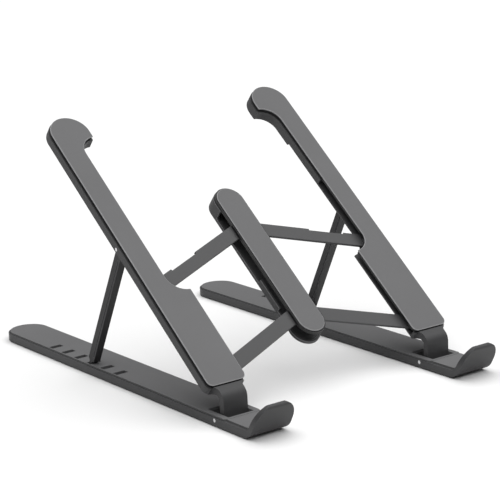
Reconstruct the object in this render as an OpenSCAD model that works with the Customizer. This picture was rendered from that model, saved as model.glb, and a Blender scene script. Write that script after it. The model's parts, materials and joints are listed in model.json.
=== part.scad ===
// Folding laptop stand: two side units on a pair of parallel links, joined by a centre bar.
// Each side unit is a base rail with a front hook, an inclined support arm and a prop leg.
// Millimetres, +Z up, +Y to the rear; the origin is under the middle of the whole stand.

/* [Overall] */
// Clear gap between the two side units when the stand is fully spread
gap_open = 112; // [96:1:126]
// Slope of the support arms above the table, in degrees
tilt = 38.8; // [36.5:0.1:41]
// Distance from the front hinge pin to the rear end of a base rail
rail_rear = 207; // [190:1:240]
// Width of a base rail and of a support arm
side_w = 24; // [23.5:0.1:29]

/* [Base rail] */
// Height of the base rail without its feet
rail_h = 5; // [4.8:0.1:6.5]
// Thickness of the floor of the base rail
rail_floor = 1.2; // [1:0.1:1.4]
// How far the deck plate stands above the rim around it
deck_proud = 0.9; // [0.5:0.1:1]
// Thickness of the deck plate that closes the rail
deck_t = 1.4; // [1.2:0.1:1.5]
// Width of the rim around the deck plate
deck_rim = 0.9; // [0.7:0.1:1.2]
// How far the feet lift the rail off the table
foot_lift = 0.6; // [0.4:0.1:1]
// Number of slots for the prop leg
slot_count = 6; // [5:1:6]
// Distance between neighbouring slots
slot_pitch = 12.9; // [12:0.1:14]
// Length of a slot along the rail
slot_y = 4; // [3.9:0.1:4.6]
// Width of a slot across the rail
slot_x = 7.2; // [6:0.1:8]
// Which slot the leg stands in, counted from the rear
leg_slot = 4; // [4:1:4]

/* [Front hook] */
// Height of the hook's tip above the underside of the rail
hook_h = 18; // [14:0.5:24]
// Lean of the hook from upright, in degrees
hook_lean = 28; // [15:1:35]
// Wall thickness of the hook
hook_t = 3; // [2.4:0.1:4]
// Radius of the hook's two top corners
hook_corner = 11.9; // [5:0.1:11.9]
// Distance from the hinge pin forward to the start of the hook's bend
hook_reach = 22.7; // [21:0.1:30]

/* [Support arm] */
// Distance from the front hinge pin to the top end of the arm
arm_len = 196.5; // [192:0.5:204]
// Depth of the recess that takes half of the folded centre bar
recess = 10; // [9.8:0.1:10.4]
// Distance from the hinge pin to the lower end of the recess
recess_low = 71.7; // [69:0.1:72.5]
// Distance from the hinge pin to the lower edge of the arm's cover
cover_low = 12.4; // [12:0.1:12.8]
// Thickness of outer walls
wall = 1.5; // [1.2:0.1:1.7]

/* [Links] */
// Width of a link
link_w = 8.4; // [7:0.1:8.8]
// Thickness of a link
link_t = 1.5; // [1.2:0.1:1.6]
// Slope of the links away from the bar when the stand is spread, in degrees
link_slope = 20.5; // [18:0.5:23]
// Distance between the two link pivots, along the slope
pivot_pitch = 59.9; // [56:0.1:61]
// Distance from the inner side of an arm to its link pivots
pivot_in = 14.5; // [14.2:0.1:14.6]
// Diameter of the pivot posts
post_d = 4; // [3:0.1:4.2]

/* [Centre bar] */
// Width of the centre bar
bar_w = 18; // [16:0.5:18.4]
// Length of the centre bar
bar_len = 103; // [99:0.5:104]
// Height of the bar's shell below its cover
bar_depth = 7.8; // [6:0.1:8.5]

/* [Prop leg] */
// Width of the leg across the rail
leg_w = 4.6; // [3.4:0.1:4.8]
// Thickness of the leg, seen from the side
leg_t = 5.2; // [3.8:0.1:5.4]
// Distance from the front hinge pin to the leg's pin, along the arm
leg_pin_v = 108; // [102:0.5:110]

/* [Hardware] */
// Diameter of the hinge pins
pin_d = 2; // [1.6:0.1:2.2]
// Radial running clearance of a joint
run = 0.05; // [0.02:0.01:0.1]

/* [Hidden] */
$fn = 48;
tiny = 0.01;
over = 5;               // how far a cutter runs past the face it cuts
seat = 0.03;            // radial clearance of a pin in the bore that holds it
play = 0.1;             // clearance between flat faces that slide
x_in = gap_open / 2;    // inner side of a side unit
u_mid = side_w / 2;     // middle of a side unit

// Heights in a base rail, above the table
z_floor = foot_lift;
z_deck = foot_lift + rail_h;
z_rim = z_deck - deck_proud;
z_cav = z_floor + rail_floor;
pin_z = z_floor + 2.75;
cav_inset = 2.2;

// Heights in a support arm, square to the slope and measured from the hinge pin
n_under = 4.3;
n_floor = 5.3;
n_low = n_floor + play;
n_high = n_low + link_t + play;
n_cover = n_floor + 2 * link_t + 3 * play;
cover_t = 1.6;
cover_in = 0.9;
n_top = n_cover + cover_t;
pad_t = 0.7;
pad_in = 0.4;

// Outline of the arm
arm_top_v = arm_len - u_mid;
recess_high = 179.5 + (arm_len - 196.5);
arm_corner = 3.5;

// Link and bar geometry, in the plane of the slope
link_len = (x_in + pivot_in) / cos(link_slope);
drop = (x_in + pivot_in) * tan(link_slope);
link_relief = 1;
low_pivot_v = cover_low + wall + link_w / 2 + play;
bar_low_v = low_pivot_v + drop;
bar_high_v = bar_low_v + pivot_pitch;
high_pivot_v = low_pivot_v + pivot_pitch;
bar_start = bar_low_v - 17.2;
bar_end = bar_start + bar_len;
bar_r = bar_w / 2;
n_bar = n_cover - bar_depth;
bar_wall = 1.4;
bar_floor_t = 1.4;
bar_pad_in = 1.1;
boss_d = 7;

// Prop leg: from its pin in the arm down to its slot in the deck
slot_u = side_w - 5.3;
leg_u = slot_u + 0.8;
leg_n = 5.8;
leg_y = leg_pin_v * cos(tilt) - leg_n * sin(tilt);
leg_z = pin_z + leg_pin_v * sin(tilt) + leg_n * cos(tilt);
slot_first = 155;
foot_y = slot_first - (leg_slot - 1) * slot_pitch;
foot_depth = 1.3;
foot_z = z_deck - foot_depth;
leg_dy = foot_y - leg_y;
leg_dz = leg_z - foot_z;
leg_len = sqrt(leg_dy * leg_dy + leg_dz * leg_dz);
leg_angle = atan2(leg_dz, leg_dy);
tip_t = 2;
tip_len = 3;
leg_gap = 0.4;

// Hinge tongue and its pocket in the rail
tongue_w = side_w - 9.2;
tongue_t = 3.3;
tongue_front = 2.1;
tongue_bend = 6.5;
barrel_r = 2.2;
pocket_gap = 0.4;
pocket_front = 6.3;
pocket_rear = 10.9;

// Hook profile, in the plane that cuts the rail along its length
bend_r = 9;
fillet_r = 5;
face_y = -hook_reach - bend_r * cos(hook_lean);
face_z = z_floor + bend_r - bend_r * sin(hook_lean);
face_len = (hook_h + z_floor - face_z - hook_t / 2 * (1 + sin(hook_lean))) / cos(hook_lean);
tip_y = face_y - face_len * sin(hook_lean) + hook_t / 2 * cos(hook_lean);
tip_z = face_z + face_len * cos(hook_lean) + hook_t / 2 * sin(hook_lean);
hook_front = tip_y - hook_t / 2;
fillet_run = (z_rim + fillet_r - face_z - (hook_t + fillet_r) * sin(hook_lean)) / cos(hook_lean);
fillet_y = face_y - fillet_run * sin(hook_lean) + (hook_t + fillet_r) * cos(hook_lean);
fillet_z = z_rim + fillet_r;
deck_front = pocket_front + 1.8;
liner_t = deck_proud;
liner_gap = 0.3;
liner_side = 1.9;
liner_top = 0.8;

// The middle of the stand, front to rear, lies over the origin
y_shift = -(rail_rear + hook_front) / 2;

// Screws
screw_r = 0.75;
screw_hole = screw_r + 0.05;
head_r = 1.7;
head_h = 0.7;

function arc(c, r, a0, a1, n = 12) =
  [for (i = [0:n]) let (a = a0 + (a1 - a0) * i / n) [c[0] + r * cos(a), c[1] + r * sin(a)]];

// ---- frames ----

// Right side unit as drawn; the left one is its mirror image
module side_unit(side) {
  if (side == "right")
    translate([x_in, y_shift, 0]) children();
  else
    mirror([1, 0, 0]) translate([x_in, y_shift, 0]) children();
}

// Frame of the slope: x across, y up the slope, z square to it, zero on the hinge pin
module slope() {
  translate([0, 0, pin_z]) rotate([tilt, 0, 0]) children();
}

module slope_mid() {
  translate([0, y_shift, 0]) slope() children();
}

// Draws a front-to-rear profile (y, z) as a slab from u0 to u1 across the unit
module across(u0, u1) {
  translate([u0, 0, 0]) rotate([90, 0, 90]) linear_extrude(u1 - u0) children();
}

// ---- base rail ----

module rail_plan(inset, front) {
  r = u_mid - inset;
  translate([u_mid, rail_rear - u_mid]) circle(r);
  translate([inset, -front]) square([side_w - 2 * inset, rail_rear - u_mid + front]);
}

module deck_plan(inset) {
  corner = 2;
  difference() {
    rail_plan(inset, deck_front);
    for (u = [inset, side_w - inset])
      translate([u, -deck_front]) rotate(45) square(corner, center = true);
  }
}

module pocket_plan(extra) {
  translate([u_mid - tongue_w / 2 - pocket_gap - extra, -pocket_front])
    square([tongue_w + 2 * (pocket_gap + extra), pocket_front + pocket_rear]);
}

module hook_profile() {
  c = hook_t / 2;
  polygon(concat(
    [[0, z_floor]],
    arc([-hook_reach, z_floor + bend_r], bend_r, 270, 180 + hook_lean),
    arc([tip_y, tip_z], c, 180 + hook_lean, hook_lean),
    arc([fillet_y, fillet_z], fillet_r, 180 + hook_lean, 270),
    [[0, z_rim]]
  ));
}

module hook_front_view() {
  top = z_floor + hook_h + 1;
  translate([0, -1]) square([side_w, top - hook_corner + 1]);
  translate([hook_corner, -1]) square([side_w - 2 * hook_corner, top + 1]);
  for (u = [hook_corner, side_w - hook_corner])
    translate([u, top - hook_corner]) circle(hook_corner);
}

module hook() {
  intersection() {
    across(0, side_w) hook_profile();
    rotate([90, 0, 0]) translate([0, 0, -1])
      linear_extrude(-hook_front + over) hook_front_view();
  }
}

screw_spots = [[u_mid, 24], [u_mid, 76], [u_mid, rail_rear - 30]];

module base_shell() {
  color("#4a4a4c")
  difference() {
    union() {
      hook();
      translate([0, 0, z_floor]) linear_extrude(z_rim - z_floor) rail_plan(0, hook_reach - 10);
    }
    // rebate for the deck plate
    translate([0, 0, z_deck - deck_t]) linear_extrude(rail_h) deck_plan(deck_rim);
    // hollow behind the hinge
    translate([0, 0, z_cav]) linear_extrude(rail_h) difference() {
      rail_plan(cav_inset, 0);
      translate([-1, -over]) square([side_w + 2, pocket_rear + 2 + over]);
    }
    // hinge pocket, open below, and the bore of the hinge pin
    translate([0, 0, -1]) linear_extrude(rail_h + 3) pocket_plan(0);
    translate([-1, 0, pin_z]) rotate([0, 90, 0]) cylinder(h = side_w + 2, r = pin_d / 2 + seat);
    // screw holes and seats for the feet
    for (s = screw_spots) translate([s[0], s[1], z_floor - 1]) {
      cylinder(h = rail_floor + 2, r = screw_hole);
      cylinder(h = head_h + 1, r = head_r + 0.1);
    }
    for (y = foot_spots) translate([u_mid, y, z_floor - 1]) linear_extrude(foot_seat + 1)
      foot_plan(0.1);
  }
}

module base_deck() {
  color("#767678")
  difference() {
    union() {
      translate([0, 0, z_deck - deck_t]) linear_extrude(deck_t) deck_plan(deck_rim + 0.15);
      for (s = screw_spots) translate([s[0], s[1], z_cav])
        cylinder(h = z_deck - z_cav - tiny, r = 2.4);
    }
    translate([0, 0, z_cav - 1]) linear_extrude(rail_h) pocket_plan(0);
    for (i = [0:slot_count - 1])
      translate([slot_u - slot_x / 2, slot_first - i * slot_pitch - slot_y / 2, z_cav])
        cube([slot_x, slot_y, rail_h]);
    for (s = screw_spots) translate([s[0], s[1], z_cav - 1])
      cylinder(h = z_deck - z_cav + 0.2, r = screw_hole);
    // the hinge pin lies in a shallow notch across the underside
    translate([-1, 0, pin_z]) rotate([0, 90, 0]) cylinder(h = side_w + 2, r = pin_d / 2 + play);
  }
}

module hook_pad() {
  u0 = liner_side;
  inner_r = fillet_r - liner_t;
  rise = face_len - fillet_run - liner_top;
  up = [-sin(hook_lean), cos(hook_lean)];
  out = [cos(hook_lean), sin(hook_lean)];
  start = [fillet_y - fillet_r * out[0], fillet_z - fillet_r * out[1]];
  color("#7c7c7e")
  intersection() {
    across(u0, side_w - u0) polygon(concat(
      [[-deck_front - liner_gap, z_rim + liner_t], [-deck_front - liner_gap, z_rim + tiny]],
      arc([fillet_y, fillet_z], fillet_r - tiny, 270, 180 + hook_lean),
      [start + rise * up, start + rise * up + liner_t * out],
      arc([fillet_y, fillet_z], inner_r, 180 + hook_lean, 270)
    ));
    rotate([90, 0, 0]) translate([0, 0, -1])
      linear_extrude(-hook_front + over) translate([u_mid, 0]) liner_front_view();
  }
}

module liner_front_view() {
  half = u_mid - liner_side;
  top = tip_z - liner_top;
  r = hook_corner - liner_side;
  translate([-half, 0]) square([2 * half, top - r]);
  translate([-half + r, 0]) square([2 * (half - r), top]);
  for (s = [-1, 1]) translate([s * (half - r), top - r]) circle(r);
}

foot_seat = 0.5;
foot_l = 10;
foot_w = side_w - 9;
foot_spots = [-14.5, rail_rear - 15];

module foot_plan(extra) {
  r = foot_l / 2 + extra;
  for (s = [-1, 1]) translate([s * (foot_w - foot_l) / 2, 0]) circle(r);
  square([foot_w - foot_l, 2 * r], center = true);
}

module foot(y) {
  color("#2c2c2e")
  translate([u_mid, y, 0]) linear_extrude(foot_lift + foot_seat) foot_plan(0);
}

module hinge_pin() {
  color("#b9babc")
  translate([0.1, 0, pin_z]) rotate([0, 90, 0]) cylinder(h = side_w - 0.2, r = pin_d / 2);
}

module screw(len) {
  cylinder(h = head_h, r = head_r);
  cylinder(h = len, r = screw_r);
}

module base_screws() {
  color("#8a8a8c")
  for (s = screw_spots) translate([s[0], s[1], z_floor]) screw(z_deck - z_floor - 1);
}

// ---- support arm ----

module arm_plan(inset) {
  difference() {
    union() {
      translate([u_mid, arm_top_v]) circle(u_mid - inset);
      translate([inset + arm_corner, cover_low + inset])
        square([side_w - 2 * (inset + arm_corner), arm_top_v - cover_low]);
      translate([inset, cover_low + inset + arm_corner])
        square([side_w - 2 * inset, arm_top_v - cover_low - inset - arm_corner]);
      for (u = [inset + arm_corner, side_w - inset - arm_corner])
        translate([u, cover_low + inset + arm_corner]) circle(arm_corner);
    }
    recess_plan(inset);
  }
}

module recess_plan(inset) {
  r = recess + inset;
  low = recess_low + recess;
  high = recess_high - recess;
  for (v = [low, high]) translate([0, v]) circle(r);
  translate([-r, low]) square([2 * r, high - low]);
}

// Tongue from the arm's lower end down to the hinge pin; upright when the stand is open
module tongue_profile() {
  up = [sin(tilt), cos(tilt)];
  front = [-cos(tilt), sin(tilt)];
  n_back = n_top - tongue_t;
  back = tongue_t - tongue_front;
  z_out = (n_top - tongue_front * sin(tilt)) / cos(tilt);
  z_back = (n_back + back * sin(tilt)) / cos(tilt);
  v_out = z_out * sin(tilt) - tongue_front * cos(tilt);
  v_back = z_back * sin(tilt) + back * cos(tilt);
  turn = 90 - tilt;
  reach = tongue_bend * tan(turn / 2);
  polygon(concat(
    [[cover_low + wall, n_under], [cover_low + wall, n_cover], [cover_low - play, n_cover]],
    [[cover_low - play, n_top]],
    arc([v_out + reach, n_top - tongue_bend], tongue_bend, 90, 90 + turn),
    [tongue_front * front, back * -front],
    [[v_back, n_back], [v_back + 2.5, n_back - 0.4], [cover_low - play + 0.2, n_under]]
  ));
}

module tongue() {
  flare = 3;
  u0 = u_mid - tongue_w / 2;
  u1 = u_mid + tongue_w / 2;
  difference() {
    union() {
      across(u0, u1) tongue_profile();
      across(u0, u1) circle(barrel_r);
      // the shoulders blend into the end of the arm
      intersection() {
        across(u0 - flare, u1 + flare) tongue_profile();
        translate([0, cover_low - flare, n_under - 1])
          cube([side_w, flare + wall, n_top - n_under + 2]);
      }
    }
    for (u = [u0 - flare, u1 + flare]) translate([u, cover_low - flare, n_under - 2])
      cylinder(h = n_top - n_under + 4, r = flare);
    translate([-1, 0, 0]) rotate([0, 90, 0]) cylinder(h = side_w + 2, r = pin_d / 2 + run);
  }
}

pivots = [[pivot_in, low_pivot_v], [pivot_in, high_pivot_v]];
arm_holes = concat(pivots, [[u_mid, arm_top_v]]);
leg_rib_u = leg_u - leg_w / 2 - leg_gap - 1.6;

module arm_shell() {
  tip_deep = 1.4;
  color("#505052")
  difference() {
    union() {
      difference() {
        translate([0, 0, n_under]) linear_extrude(n_cover - n_under) arm_plan(0);
        // room for the links and the leg
        translate([0, 0, n_floor]) linear_extrude(rail_h) arm_plan(wall);
        // the links leave through the inner side
        translate([-1, cover_low + 2, n_floor]) cube([1 + wall + 1, recess_low - cover_low, over]);
        translate([-1, cover_low - 1, n_under - 1])
          cube([1 + wall, recess_low - cover_low + 2, 2 * over]);
        translate([-1, recess_low - wall - play, n_floor]) cube([recess + wall + 1.5, 54, over]);
      }
      // deeper lip along the inner side of the top end
      intersection() {
        translate([0, 0, n_under - tip_deep]) linear_extrude(tip_deep) difference() {
          arm_plan(0);
          arm_plan(wall);
        }
        translate([-1, 157, 0]) cube([recess + wall + 1, arm_len - 150, n_cover]);
      }
      tongue();
      for (p = pivots) translate([p[0], p[1], n_floor - tiny])
        cylinder(h = n_cover - n_floor + tiny, r = post_d / 2);
      translate([u_mid, arm_top_v, n_floor - tiny]) cylinder(h = n_cover - n_floor + tiny, r = 2.4);
      // rib that carries the inner end of the leg's pin
      translate([leg_rib_u, leg_pin_v - 3, n_under]) cube([1.4, 6, n_cover - n_under]);
    }
    // slot for the leg through the floor
    translate([leg_u - leg_w / 2 - leg_gap, leg_pin_v - leg_t / 2 - 0.9, n_under - 1])
      cube([leg_w + 2 * leg_gap, leg_len + leg_t / 2 + 1.4, n_cover - n_under + 2]);
    translate([leg_rib_u, leg_pin_v, leg_n]) rotate([0, 90, 0])
      cylinder(h = side_w, r = pin_d / 2 + seat);
    for (p = arm_holes) translate([p[0], p[1], n_under - 1]) {
      cylinder(h = over * 2, r = screw_hole);
      cylinder(h = head_h + 1, r = head_r + 0.1);
    }
  }
}

module arm_cover() {
  color("#48484a")
  difference() {
    translate([0, 0, n_cover]) linear_extrude(cover_t) arm_plan(cover_in);
    for (p = arm_holes) translate([p[0], p[1], n_cover - 1]) cylinder(h = 2, r = screw_hole);
  }
}

module arm_pad() {
  color("#848486")
  translate([0, 0, n_top]) linear_extrude(pad_t) arm_plan(pad_in);
}

module arm_screws() {
  color("#8a8a8c")
  for (p = arm_holes) translate([p[0], p[1], n_under]) screw(n_cover - n_under + 0.9);
}

module washer(n) {
  translate([0, 0, n]) difference() {
    cylinder(h = link_t, r = post_d / 2 + 1.4);
    translate([0, 0, -1]) cylinder(h = link_t + 2, r = post_d / 2 + run);
  }
}

// The washers fill the layer that this side's links leave free
module arm_washers(n) {
  color("#9a9a9c")
  for (p = pivots) translate([p[0], p[1], 0]) washer(n);
}

module leg_pin() {
  color("#b9babc")
  translate([leg_rib_u + 0.1, leg_pin_v, leg_n]) rotate([0, 90, 0])
    cylinder(h = side_w - leg_rib_u - 0.2, r = pin_d / 2);
}

// ---- prop leg ----

// Side view of the leg: x from the pin to the tip, y across its thickness
module leg_profile() {
  t = leg_t / 2;
  circle(t);
  polygon([
    [0, -t], [leg_len - tip_len - 1.2, -t], [leg_len - tip_len, -tip_t / 2], [leg_len, -tip_t / 2],
    [leg_len, tip_t / 2], [leg_len - tip_len, tip_t / 2], [leg_len - tip_len - 1.2, t], [0, t]
  ]);
}

module leg() {
  groove = 0.6;
  front = -leg_t / 2 + 0.9;
  color("#58585a")
  translate([leg_u - leg_w / 2, leg_y, leg_z]) rotate([-leg_angle, 0, 0])
  difference() {
    rotate([90, 0, 90]) linear_extrude(leg_w) leg_profile();
    // a shadow line along each side, just behind the front face
    for (x = [-1, leg_w - groove])
      translate([x, 7, front]) cube([groove + 1, leg_len - 14, groove]);
    translate([-1, 0, 0]) rotate([0, 90, 0]) cylinder(h = leg_w + 2, r = pin_d / 2 + run);
  }
}

// ---- links ----

// The upper links are relieved along part of their upper edge, by the depth given
module link(n, relief) {
  relief_from = 40;
  relief_to = 61;
  color("#606062")
  translate([0, 0, n]) difference() {
    union() {
      translate([0, -link_w / 2, 0]) cube([link_len, link_w, link_t]);
      for (x = [0, link_len]) translate([x, 0, 0]) cylinder(h = link_t, r = link_w / 2);
    }
    if (relief > 0) translate([relief_from, link_w / 2 - relief, -1])
      cube([relief_to - relief_from, relief + 1, link_t + 2]);
    for (x = [0, link_len]) translate([x, 0, -1]) cylinder(h = link_t + 2, r = post_d / 2 + run);
  }
}

// A link runs from its pivot on the bar outward and down the slope
module placed_link(side, v, n, relief) {
  if (side == "right")
    slope_mid() translate([0, v, 0]) rotate(-link_slope) link(n, relief);
  else
    mirror([1, 0, 0]) slope_mid() translate([0, v, 0]) rotate(-link_slope) link(n, relief);
}

// ---- centre bar ----

bar_pivots = [bar_low_v, bar_high_v];
bar_holes = [bar_low_v, bar_high_v, bar_end - bar_r];

module bar_plan(inset) {
  r = bar_r - inset;
  for (v = [bar_start + bar_r, bar_end - bar_r]) translate([0, v]) circle(r);
  translate([-r, bar_start + bar_r]) square([2 * r, bar_len - 2 * bar_r]);
}

module bar_shell() {
  sill = n_bar + 1.8;
  mid_sill = n_bar + 4;
  color("#48484a")
  difference() {
    union() {
      difference() {
        translate([0, 0, n_bar]) linear_extrude(bar_depth) bar_plan(0);
        translate([0, 0, n_bar + bar_floor_t]) linear_extrude(bar_depth) bar_plan(bar_wall);
        // windows that the links swing through, open to the lower end
        translate([-bar_w, bar_high_v - 34, sill]) cube([2 * bar_w, 46, bar_depth]);
        translate([-bar_w, bar_low_v - 40, mid_sill]) cube([2 * bar_w, 80, bar_depth]);
        translate([-bar_w, bar_low_v - 40, sill]) cube([2 * bar_w, 46, bar_depth]);
      }
      for (v = bar_pivots) translate([0, v, n_bar + bar_floor_t - tiny]) {
        cylinder(h = n_floor - n_bar - bar_floor_t + tiny, r = boss_d / 2);
        cylinder(h = n_cover - n_bar - bar_floor_t + tiny, r = post_d / 2);
      }
      translate([0, bar_end - bar_r, n_bar + bar_floor_t - tiny])
        cylinder(h = n_cover - n_bar - bar_floor_t + tiny, r = 2.4);
    }
    for (v = bar_holes) translate([0, v, n_bar - 1]) {
      cylinder(h = bar_depth + 2, r = screw_hole);
      cylinder(h = head_h + 1, r = head_r + 0.1);
    }
  }
}

module bar_cover() {
  color("#3e3e40")
  difference() {
    translate([0, 0, n_cover]) linear_extrude(cover_t) bar_plan(0.4);
    for (v = bar_holes) translate([0, v, n_cover - 1]) cylinder(h = 2, r = screw_hole);
  }
}

module bar_pad() {
  color("#848486")
  translate([0, 0, n_top]) linear_extrude(pad_t) bar_plan(bar_pad_in);
}

module bar_screws() {
  color("#8a8a8c")
  for (v = bar_holes) translate([0, v, n_bar]) screw(n_cover - n_bar + 0.9);
}

// Thin washers between the two links on each post
module bar_washers() {
  color("#9a9a9c")
  for (v = bar_pivots) translate([0, v, n_low + link_t + 0.01]) difference() {
    cylinder(h = play - 0.02, r = post_d / 2 + 1.4);
    translate([0, 0, -1]) cylinder(h = 3, r = post_d / 2 + run);
  }
}

slope_mid() bar_shell();
slope_mid() bar_cover();
slope_mid() bar_pad();
slope_mid() bar_screws();
slope_mid() bar_washers();

side_unit("left") base_shell();  // left_base_shell
side_unit("left") base_deck();  // left_base_deck
side_unit("left") hook_pad();  // left_hook_pad
side_unit("left") foot(foot_spots[0]);  // left_front_foot
side_unit("left") foot(foot_spots[1]);  // left_rear_foot
side_unit("left") hinge_pin();  // left_hinge_pin
side_unit("left") base_screws();  // left_base_screws
side_unit("left") slope() arm_shell();  // left_arm_shell
side_unit("left") slope() arm_cover();  // left_arm_cover
side_unit("left") slope() arm_pad();  // left_arm_pad
side_unit("left") slope() arm_screws();  // left_arm_screws
side_unit("left") slope() arm_washers(n_low);  // left_arm_washers
side_unit("left") slope() leg_pin();  // left_leg_pin
side_unit("left") leg();  // left_leg
placed_link("left", bar_high_v, n_high, link_relief);  // left_upper_link
placed_link("left", bar_low_v, n_high, 0);  // left_lower_link

side_unit("right") base_shell();  // right_base_shell
side_unit("right") base_deck();  // right_base_deck
side_unit("right") hook_pad();  // right_hook_pad
side_unit("right") foot(foot_spots[0]);  // right_front_foot
side_unit("right") foot(foot_spots[1]);  // right_rear_foot
side_unit("right") hinge_pin();  // right_hinge_pin
side_unit("right") base_screws();  // right_base_screws
side_unit("right") slope() arm_shell();  // right_arm_shell
side_unit("right") slope() arm_cover();  // right_arm_cover
side_unit("right") slope() arm_pad();  // right_arm_pad
side_unit("right") slope() arm_screws();  // right_arm_screws
side_unit("right") slope() arm_washers(n_high);  // right_arm_washers
side_unit("right") slope() leg_pin();  // right_leg_pin
side_unit("right") leg();  // right_leg
placed_link("right", bar_high_v, n_low, link_relief);  // right_upper_link
placed_link("right", bar_low_v, n_low, 0);  // right_lower_link
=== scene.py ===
"""Looks for a folding laptop stand: moulded shells, silicone pads, flat links and steel pins."""

import json

import bmesh
import bpy
import numpy as np
from mathutils import Matrix, Vector


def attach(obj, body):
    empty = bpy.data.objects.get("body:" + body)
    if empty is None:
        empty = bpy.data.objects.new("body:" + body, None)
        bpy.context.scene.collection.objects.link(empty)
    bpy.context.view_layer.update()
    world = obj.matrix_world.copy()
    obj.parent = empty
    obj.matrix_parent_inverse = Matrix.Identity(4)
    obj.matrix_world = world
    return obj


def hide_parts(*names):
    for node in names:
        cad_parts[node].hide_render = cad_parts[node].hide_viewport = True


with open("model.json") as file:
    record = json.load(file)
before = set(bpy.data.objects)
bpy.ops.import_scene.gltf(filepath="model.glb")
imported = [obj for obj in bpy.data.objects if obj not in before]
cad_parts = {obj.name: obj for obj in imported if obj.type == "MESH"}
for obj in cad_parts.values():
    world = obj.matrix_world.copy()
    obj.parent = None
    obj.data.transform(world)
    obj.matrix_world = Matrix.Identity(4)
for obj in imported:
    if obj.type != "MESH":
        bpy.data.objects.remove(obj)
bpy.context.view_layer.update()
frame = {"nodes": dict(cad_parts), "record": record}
nodes = frame["nodes"]


# ---------------------------------------------------------------- shader maths

class Signal:
    """A value in a material: plain operators on it add the Math nodes they need."""

    def __init__(self, tree, socket):
        self.tree = tree
        self.socket = socket

    def _math(self, operation, *inputs):
        node = self.tree.nodes.new("ShaderNodeMath")
        node.operation = operation
        for slot, value in zip(node.inputs, inputs):
            feed(self.tree, slot, value)
        return Signal(self.tree, node.outputs[0])

    def __add__(self, other):
        return self._math("ADD", self, other)

    def __radd__(self, other):
        return self._math("ADD", other, self)

    def __sub__(self, other):
        return self._math("SUBTRACT", self, other)

    def __rsub__(self, other):
        return self._math("SUBTRACT", other, self)

    def __mul__(self, other):
        return self._math("MULTIPLY", self, other)

    def __rmul__(self, other):
        return self._math("MULTIPLY", other, self)

    def clamp(self):
        return self._math("MAXIMUM", self._math("MINIMUM", self, 1.0), 0.0)


def feed(tree, slot, value):
    """Links a Signal or a socket to an input, or sets the input to a plain value."""
    if isinstance(value, Signal):
        value = value.socket
    if isinstance(value, bpy.types.NodeSocket):
        tree.links.new(value, slot)
    else:
        slot.default_value = value


class Finish:
    """A material under construction, with its shader and the node that every pattern starts from."""

    def __init__(self, name):
        self.material = bpy.data.materials.new(name)
        self.material.use_nodes = True
        self.tree = self.material.node_tree
        self.shader = self.tree.nodes["Principled BSDF"]
        self.place = self.node("ShaderNodeTexCoord").outputs["Object"]

    def node(self, kind, settings=None, **inputs):
        """Adds a node of any type: its settings first, then the values or links of its inputs."""
        node = self.tree.nodes.new(kind)
        for key, value in (settings or {}).items():
            setattr(node, key, value)
        for key, value in inputs.items():
            feed(self.tree, node.inputs[key.replace("_", " ")], value)
        return node

    def noise(self, scale, detail=2.0, roughness=0.5):
        made = self.node("ShaderNodeTexNoise", {}, Vector=self.place, Scale=scale, Detail=detail,
                         Roughness=roughness)
        return Signal(self.tree, made.outputs[0])

    def blend(self, factor, a, b):
        """Colour a where the factor is 0, colour b where it is 1."""
        made = self.node("ShaderNodeMix", {"data_type": "RGBA"})
        feed(self.tree, made.inputs[0], factor)
        feed(self.tree, made.inputs[6], (*a, 1))
        feed(self.tree, made.inputs[7], (*b, 1))
        return made.outputs[2]

    def bump(self, height, distance, strength=1.0):
        made = self.node("ShaderNodeBump", {}, Height=height, Distance=distance, Strength=strength)
        return made.outputs[0]

    def set(self, **inputs):
        for key, value in inputs.items():
            feed(self.tree, self.shader.inputs[key.replace("_", " ")], value)


def moulded_plastic(name, dark, light, rough=0.5, grain=2600.0, depth=0.00004):
    """Matte moulded plastic: a fine spark-eroded grain, slow shifts of tone and slightly polished patches."""
    made = Finish(name)
    fine = made.noise(grain, 3.0, 0.6)
    slow = made.noise(18.0, 2.0)
    made.set(
        Base_Color=made.blend((0.65 * slow + 0.35 * fine).clamp(), dark, light),
        Roughness=rough - 0.07 + 0.1 * slow + 0.06 * fine,
        Normal=made.bump(fine, depth, 0.6),
    )
    made.set(IOR=1.47, Specular_IOR_Level=0.4)
    return made.material


def silicone(name, dark, light):
    """Soft silicone rubber: satin skin, faint dust and a very fine pebble."""
    made = Finish(name)
    pebble = made.noise(3400.0, 2.0, 0.5)
    slow = made.noise(26.0, 3.0)
    made.set(
        Base_Color=made.blend(slow, dark, light),
        Roughness=0.58 + 0.12 * slow,
        Normal=made.bump(pebble, 0.00003, 0.5),
    )
    made.set(IOR=1.42, Specular_IOR_Level=0.35)
    return made.material


def turned_steel(name):
    """Drawn steel pin: bright, with fine streaks around it."""
    made = Finish(name)
    streak = made.noise(900.0, 2.0)
    made.set(
        Base_Color=made.blend(streak, (0.55, 0.55, 0.56), (0.75, 0.75, 0.76)),
        Roughness=0.22 + 0.15 * streak,
    )
    made.set(Metallic=1.0)
    return made.material


def pair(maker, name, dark, light, lift, *rest):
    """A finish and its edge finish: the same make, with both tones lifted as a painted highlight along the
    rounded edges.
    """
    highlit = [tuple(min(1.0, tone * lift) for tone in shade) for shade in (dark, light)]
    return maker(name, dark, light, *rest), maker(name + "_edge", *highlit, *rest)


# The number after the two tones lifts them for the edge finish: a painted highlight on the rounded edges.
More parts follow.
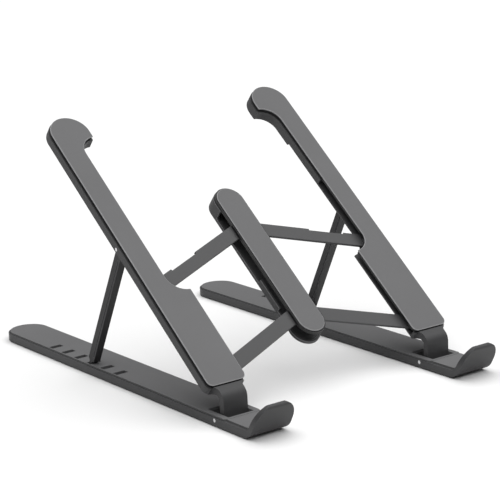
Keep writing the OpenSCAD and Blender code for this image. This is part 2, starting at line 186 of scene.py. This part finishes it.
SHELL = pair(moulded_plastic, "shell_plastic", (0.035, 0.035, 0.036), (0.052, 0.052, 0.054), 3.6)
DECK = pair(moulded_plastic, "deck_plastic", (0.105, 0.105, 0.107), (0.138, 0.138, 0.141), 2.0, 0.6)
# The covers are near black as painted shade: it stands in for the shadowed groove under the pads' edges.
COVER_PAINTED_SHADE = (moulded_plastic("cover_painted_shade", (0.007, 0.007, 0.0075), (0.013, 0.013, 0.014)),)
LINK = pair(moulded_plastic, "link_plastic", (0.048, 0.048, 0.049), (0.064, 0.064, 0.066), 1.3)
LEG = pair(moulded_plastic, "leg_plastic", (0.012, 0.012, 0.0125), (0.02, 0.02, 0.021), 4.0)
PAD = pair(silicone, "pad_silicone", (0.115, 0.115, 0.117), (0.145, 0.145, 0.148), 2.1)
FOOT = (silicone("foot_silicone", (0.02, 0.02, 0.021), (0.035, 0.035, 0.037)),)
STEEL = (turned_steel("pin_steel"),)

# Edges that turn by more than this many degrees are rounded, and merged points lie closer than this
EDGE_TURN = 35
FLAT_TURN = 0.5
SAME_POINT = 1e-6

# Ending of a node's name, its finish, and how far its edges are rounded, in metres; 0 leaves the CAD
# node itself on show. The first ending that fits is taken.
FINISHES = [
    ("pad", PAD, 0.0004),
    ("foot", FOOT, 0),
    ("deck", DECK, 0.00045),
    ("cover", COVER_PAINTED_SHADE, 0),
    ("link", LINK, 0.00015),
    ("_leg", LEG, 0.0003),
    ("pin", STEEL, 0),
    ("screws", STEEL, 0),
    ("washers", STEEL, 0),
    ("arm_shell", SHELL, 0),
    ("shell", SHELL, 0.0005),
]


# ---------------------------------------------------------------- pieces

def assign(part, finish):
    """Puts one finish in every material slot that a CAD node has."""
    for index in range(len(part.data.materials)):
        part.data.materials[index] = finish
    if not part.data.materials:
        part.data.materials.append(finish)


def eased(name, part, radius, finishes):
    """A copy of a CAD node whose sharp edges are rounded by the radius, as a mould leaves them.

    Triangles are joined at their shared points, flat areas become single faces, and every edge that turns
    by more than EDGE_TURN gets a narrow round of two steps, in the edge finish, whose lifted tone is a
    painted highlight.
    """
    grown = bmesh.new()
    grown.from_mesh(part.data)
    grown.transform(part.matrix_world)
    bmesh.ops.remove_doubles(grown, verts=grown.verts, dist=SAME_POINT)
    bmesh.ops.dissolve_limit(grown, angle_limit=np.radians(FLAT_TURN), verts=grown.verts,
                             edges=grown.edges)
    mesh = bpy.data.meshes.new(name + "_eased")
    grown.to_mesh(mesh)
    grown.free()
    mesh.shade_smooth()
    mesh.set_sharp_from_angle(angle=np.radians(EDGE_TURN))
    piece = bpy.data.objects.new(name + "_eased", mesh)
    bpy.context.scene.collection.objects.link(piece)
    bevel = piece.modifiers.new("edges", "BEVEL")
    bevel.width = radius
    bevel.segments = 2
    bevel.limit_method = "ANGLE"
    bevel.angle_limit = np.radians(EDGE_TURN)
    bevel.harden_normals = True
    for finish in finishes:
        mesh.materials.append(finish)
    mesh.polygons.foreach_set("material_index", np.zeros(len(mesh.polygons), np.int32))
    # The rounds take the edge finish, lighter as a painted highlight.
    bevel.material = 1
    return piece


bodies = frame["record"]["behaviour"]["bodies"]
body_of_node = {name: body for body, names in bodies.items() for name in names}
for name, part in nodes.items():
    finish, radius = next((f, r) for ending, f, r in FINISHES if name.endswith(ending))
    assign(part, finish[0])
    if radius:
        piece = eased(name, part, radius, finish)
        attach(piece, body_of_node[name])
        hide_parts(name)


# ---------------------------------------------------------------- studio

def add_camera():
    """Camera on a long lens at the front left, looking down at the stand by about 14 degrees."""
    azimuth, elevation, roll = np.radians([-37.04, 14.15, -2.03])
    level = np.cos(elevation)
    back = np.array([np.sin(azimuth) * level, -np.cos(azimuth) * level, np.sin(elevation)])
    right = np.cross([0, 0, 1.0], back)
    right /= np.linalg.norm(right)
    up = np.cross(back, right)
    right, up = (right * np.cos(roll) + up * np.sin(roll), up * np.cos(roll) - right * np.sin(roll))
    data = bpy.data.cameras.new("camera")
    data.sensor_width = 36.0
    data.lens = 134.2
    data.clip_start = 0.05
    camera = bpy.data.objects.new("camera", data)
    bpy.context.scene.collection.objects.link(camera)
    turn = Matrix([list(right), list(up), list(back)]).transposed().to_4x4()
    camera.matrix_world = Matrix.Translation(Vector((-0.58588, -0.78959, 0.30761))) @ turn
    bpy.context.scene.camera = camera


def add_sun(name, towards, spread, strength):
    """A very wide soft light from far away, in the given direction from the stand; spread in degrees."""
    data = bpy.data.lights.new(name, "SUN")
    data.angle = np.radians(spread)
    data.energy = strength
    lamp = bpy.data.objects.new(name, data)
    bpy.context.scene.collection.objects.link(lamp)
    lamp.rotation_euler = Vector(towards).to_track_quat("Z", "Y").to_euler()


def add_floor():
    """A plain pale floor, wide enough to fill the view."""
    size = 6.0
    mesh = bpy.data.meshes.new("floor")
    corners = [(-size, -size, 0), (size, -size, 0), (size, size, 0), (-size, size, 0)]
    mesh.from_pydata(corners, [], [(0, 1, 2, 3)])
    floor = bpy.data.objects.new("floor", mesh)
    bpy.context.scene.collection.objects.link(floor)
    paper = Finish("floor_paper")
    tone = paper.noise(6.0, 2.0)
    paper.set(Base_Color=paper.blend(tone, (0.8, 0.8, 0.8), (0.84, 0.84, 0.84)), Roughness=0.9)
    mesh.materials.append(paper.material)


add_camera()
add_floor()
add_sun("overhead", (0.05, -0.1, 1.0), 100.0, 3.7)
world = bpy.data.worlds.new("studio")
world.use_nodes = True
world.node_tree.nodes["Background"].inputs[0].default_value = (1, 1, 1, 1)
world.node_tree.nodes["Background"].inputs[1].default_value = 0.15
bpy.context.scene.world = world
bpy.context.scene.view_settings.view_transform = "Standard"
